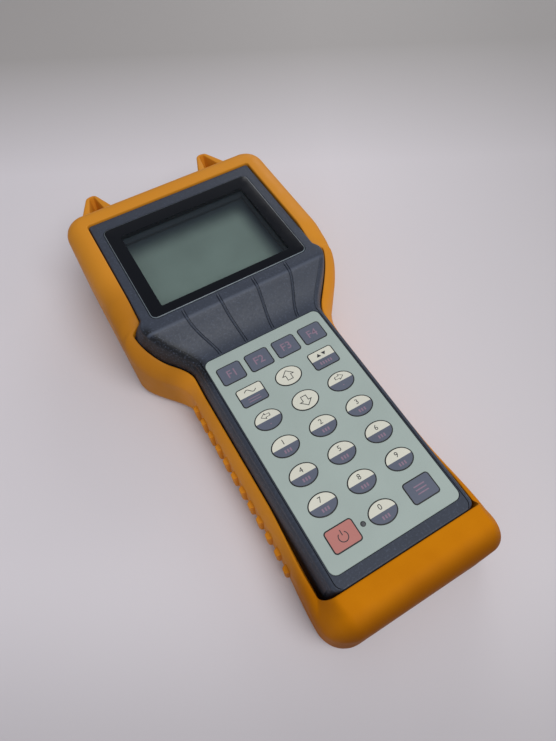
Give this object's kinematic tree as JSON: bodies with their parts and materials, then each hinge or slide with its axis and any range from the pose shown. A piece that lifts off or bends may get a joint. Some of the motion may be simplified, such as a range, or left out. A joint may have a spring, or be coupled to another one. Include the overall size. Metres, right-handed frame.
{
  "type": "signal level meter",
  "caption": "Hand-held signal level meter: wide head with a display, narrow grip with a keypad, rubber holster with ribbed sides and hollow ears beside a coaxial input.",
  "frame": {"origin": "middle of the bounding box in plan, on the resting face (z = 0)", "axes": "+Y from the tail end towards the head end, +Z out of the front, +X to the right seen from the front"},
  "size_m": [0.1124, 0.2598, 0.0492],
  "materials": {
    "holster_rubber": "satin moulded rubber",
    "case_plastic": "fine matt texture",
    "window_plastic": "gloss, dark printed border",
    "display_glass": "grey-green display",
    "label_film": "satin film",
    "key_cream": "cream upper half, slate lower half",
    "key_slate": "slate",
    "key_salmon": "salmon",
    "white_plastic": "plain",
    "black_plastic": "plain",
    "dark_lens": "unlit light",
    "board_green": "solder mask",
    "flex_amber": "film",
    "can_metal": "tinned sheet",
    "screw_steel": "plated",
    "spring_steel": "plated strip",
    "nickel": "nickel plate",
    "seal_rubber": "plain",
    "cell_sleeve": "printed sleeve, no print here",
    "bezel_paint": "black paint on sheet steel"
  },
  "bodies": {
    "meter": {"holster": "holster_rubber", "front_case": "case_plastic", "back_case": "case_plastic", "lcd_window": "window_plastic", "keypad_label": "label_film", "power_led": "dark_lens", "charging_jack": "black_plastic", "input_body": "nickel", "input_washer": "nickel", "input_nut": "nickel", "input_insulator": "white_plastic", "input_contact": "nickel", "case_screw_1": "screw_steel", "case_screw_2": "screw_steel", "case_screw_3": "screw_steel", "case_screw_4": "screw_steel", "case_gasket": "seal_rubber", "lcd_bezel": "bezel_paint", "lcd_glass": "display_glass", "lcd_backlight": "white_plastic", "lcd_board": "board_green", "lcd_flex": "flex_amber", "key_dome_sheet": "white_plastic", "main_board": "board_green", "main_chip": "black_plastic", "rf_tuner_can": "can_metal", "buzzer": "black_plastic", "battery_contact_tail": "spring_steel", "battery_contact_head": "spring_steel", "battery_cell_1": "cell_sleeve", "battery_cell_2": "cell_sleeve", "battery_cell_3": "cell_sleeve", "battery_cell_4": "cell_sleeve", "battery_cell_5": "cell_sleeve", "battery_cell_6": "cell_sleeve"},
    "battery_cover": {"battery_cover": "case_plastic", "battery_cover_screw": "screw_steel"},
    "f1_key": {"key_f1": "key_slate"},
    "f2_key": {"key_f2": "key_slate"},
    "f3_key": {"key_f3": "key_slate"},
    "f4_key": {"key_f4": "key_slate"},
    "mhz_key": {"key_mhz": "key_cream"},
    "up_key": {"key_up": "key_cream"},
    "channel_key": {"key_channel": "key_cream"},
    "left_key": {"key_left": "key_cream"},
    "down_key": {"key_down": "key_cream"},
    "right_key": {"key_right": "key_cream"},
    "1_key": {"key_1": "key_cream"},
    "2_key": {"key_2": "key_cream"},
    "3_key": {"key_3": "key_cream"},
    "4_key": {"key_4": "key_cream"},
    "5_key": {"key_5": "key_cream"},
    "6_key": {"key_6": "key_cream"},
    "7_key": {"key_7": "key_cream"},
    "8_key": {"key_8": "key_cream"},
    "9_key": {"key_9": "key_cream"},
    "power_key": {"key_power": "key_salmon"},
    "0_key": {"key_0": "key_cream"},
    "menu_key": {"key_menu": "key_slate"}
  },
  "joints": [
    {"name": "key_f1_press", "type": "slide", "parent": "meter", "child": "f1_key", "axis": [0, 0, -1], "range_m": [0, 0.0005], "stiffness_N_per_m": 500},
    {"name": "key_f2_press", "type": "slide", "parent": "meter", "child": "f2_key", "axis": [0, 0, -1], "range_m": [0, 0.0005], "stiffness_N_per_m": 500},
    {"name": "key_f3_press", "type": "slide", "parent": "meter", "child": "f3_key", "axis": [0, 0, -1], "range_m": [0, 0.0005], "stiffness_N_per_m": 500},
    {"name": "key_f4_press", "type": "slide", "parent": "meter", "child": "f4_key", "axis": [0, 0, -1], "range_m": [0, 0.0005], "stiffness_N_per_m": 500},
    {"name": "key_mhz_press", "type": "slide", "parent": "meter", "child": "mhz_key", "axis": [0, 0, -1], "range_m": [0, 0.0005], "stiffness_N_per_m": 500},
    {"name": "key_up_press", "type": "slide", "parent": "meter", "child": "up_key", "axis": [0, 0, -1], "range_m": [0, 0.0005], "stiffness_N_per_m": 500},
    {"name": "key_channel_press", "type": "slide", "parent": "meter", "child": "channel_key", "axis": [0, 0, -1], "range_m": [0, 0.0005], "stiffness_N_per_m": 500},
    {"name": "key_left_press", "type": "slide", "parent": "meter", "child": "left_key", "axis": [0, 0, -1], "range_m": [0, 0.0005], "stiffness_N_per_m": 500},
    {"name": "key_down_press", "type": "slide", "parent": "meter", "child": "down_key", "axis": [0, 0, -1], "range_m": [0, 0.0005], "stiffness_N_per_m": 500},
    {"name": "key_right_press", "type": "slide", "parent": "meter", "child": "right_key", "axis": [0, 0, -1], "range_m": [0, 0.0005], "stiffness_N_per_m": 500},
    {"name": "key_1_press", "type": "slide", "parent": "meter", "child": "1_key", "axis": [0, 0, -1], "range_m": [0, 0.0005], "stiffness_N_per_m": 500},
    {"name": "key_2_press", "type": "slide", "parent": "meter", "child": "2_key", "axis": [0, 0, -1], "range_m": [0, 0.0005], "stiffness_N_per_m": 500},
    {"name": "key_3_press", "type": "slide", "parent": "meter", "child": "3_key", "axis": [0, 0, -1], "range_m": [0, 0.0005], "stiffness_N_per_m": 500},
    {"name": "key_4_press", "type": "slide", "parent": "meter", "child": "4_key", "axis": [0, 0, -1], "range_m": [0, 0.0005], "stiffness_N_per_m": 500},
    {"name": "key_5_press", "type": "slide", "parent": "meter", "child": "5_key", "axis": [0, 0, -1], "range_m": [0, 0.0005], "stiffness_N_per_m": 500},
    {"name": "key_6_press", "type": "slide", "parent": "meter", "child": "6_key", "axis": [0, 0, -1], "range_m": [0, 0.0005], "stiffness_N_per_m": 500},
    {"name": "key_7_press", "type": "slide", "parent": "meter", "child": "7_key", "axis": [0, 0, -1], "range_m": [0, 0.0005], "stiffness_N_per_m": 500},
    {"name": "key_8_press", "type": "slide", "parent": "meter", "child": "8_key", "axis": [0, 0, -1], "range_m": [0, 0.0005], "stiffness_N_per_m": 500},
    {"name": "key_9_press", "type": "slide", "parent": "meter", "child": "9_key", "axis": [0, 0, -1], "range_m": [0, 0.0005], "stiffness_N_per_m": 500},
    {"name": "key_power_press", "type": "slide", "parent": "meter", "child": "power_key", "axis": [0, 0, -1], "range_m": [0, 0.0005], "stiffness_N_per_m": 500},
    {"name": "key_0_press", "type": "slide", "parent": "meter", "child": "0_key", "axis": [0, 0, -1], "range_m": [0, 0.0005], "stiffness_N_per_m": 500},
    {"name": "key_menu_press", "type": "slide", "parent": "meter", "child": "menu_key", "axis": [0, 0, -1], "range_m": [0, 0.0005], "stiffness_N_per_m": 500},
    {"name": "battery_cover_removal", "type": "slide", "parent": "meter", "child": "battery_cover", "axis": [0, 0, -1], "range_m": [0, 0.03]}
  ]
}
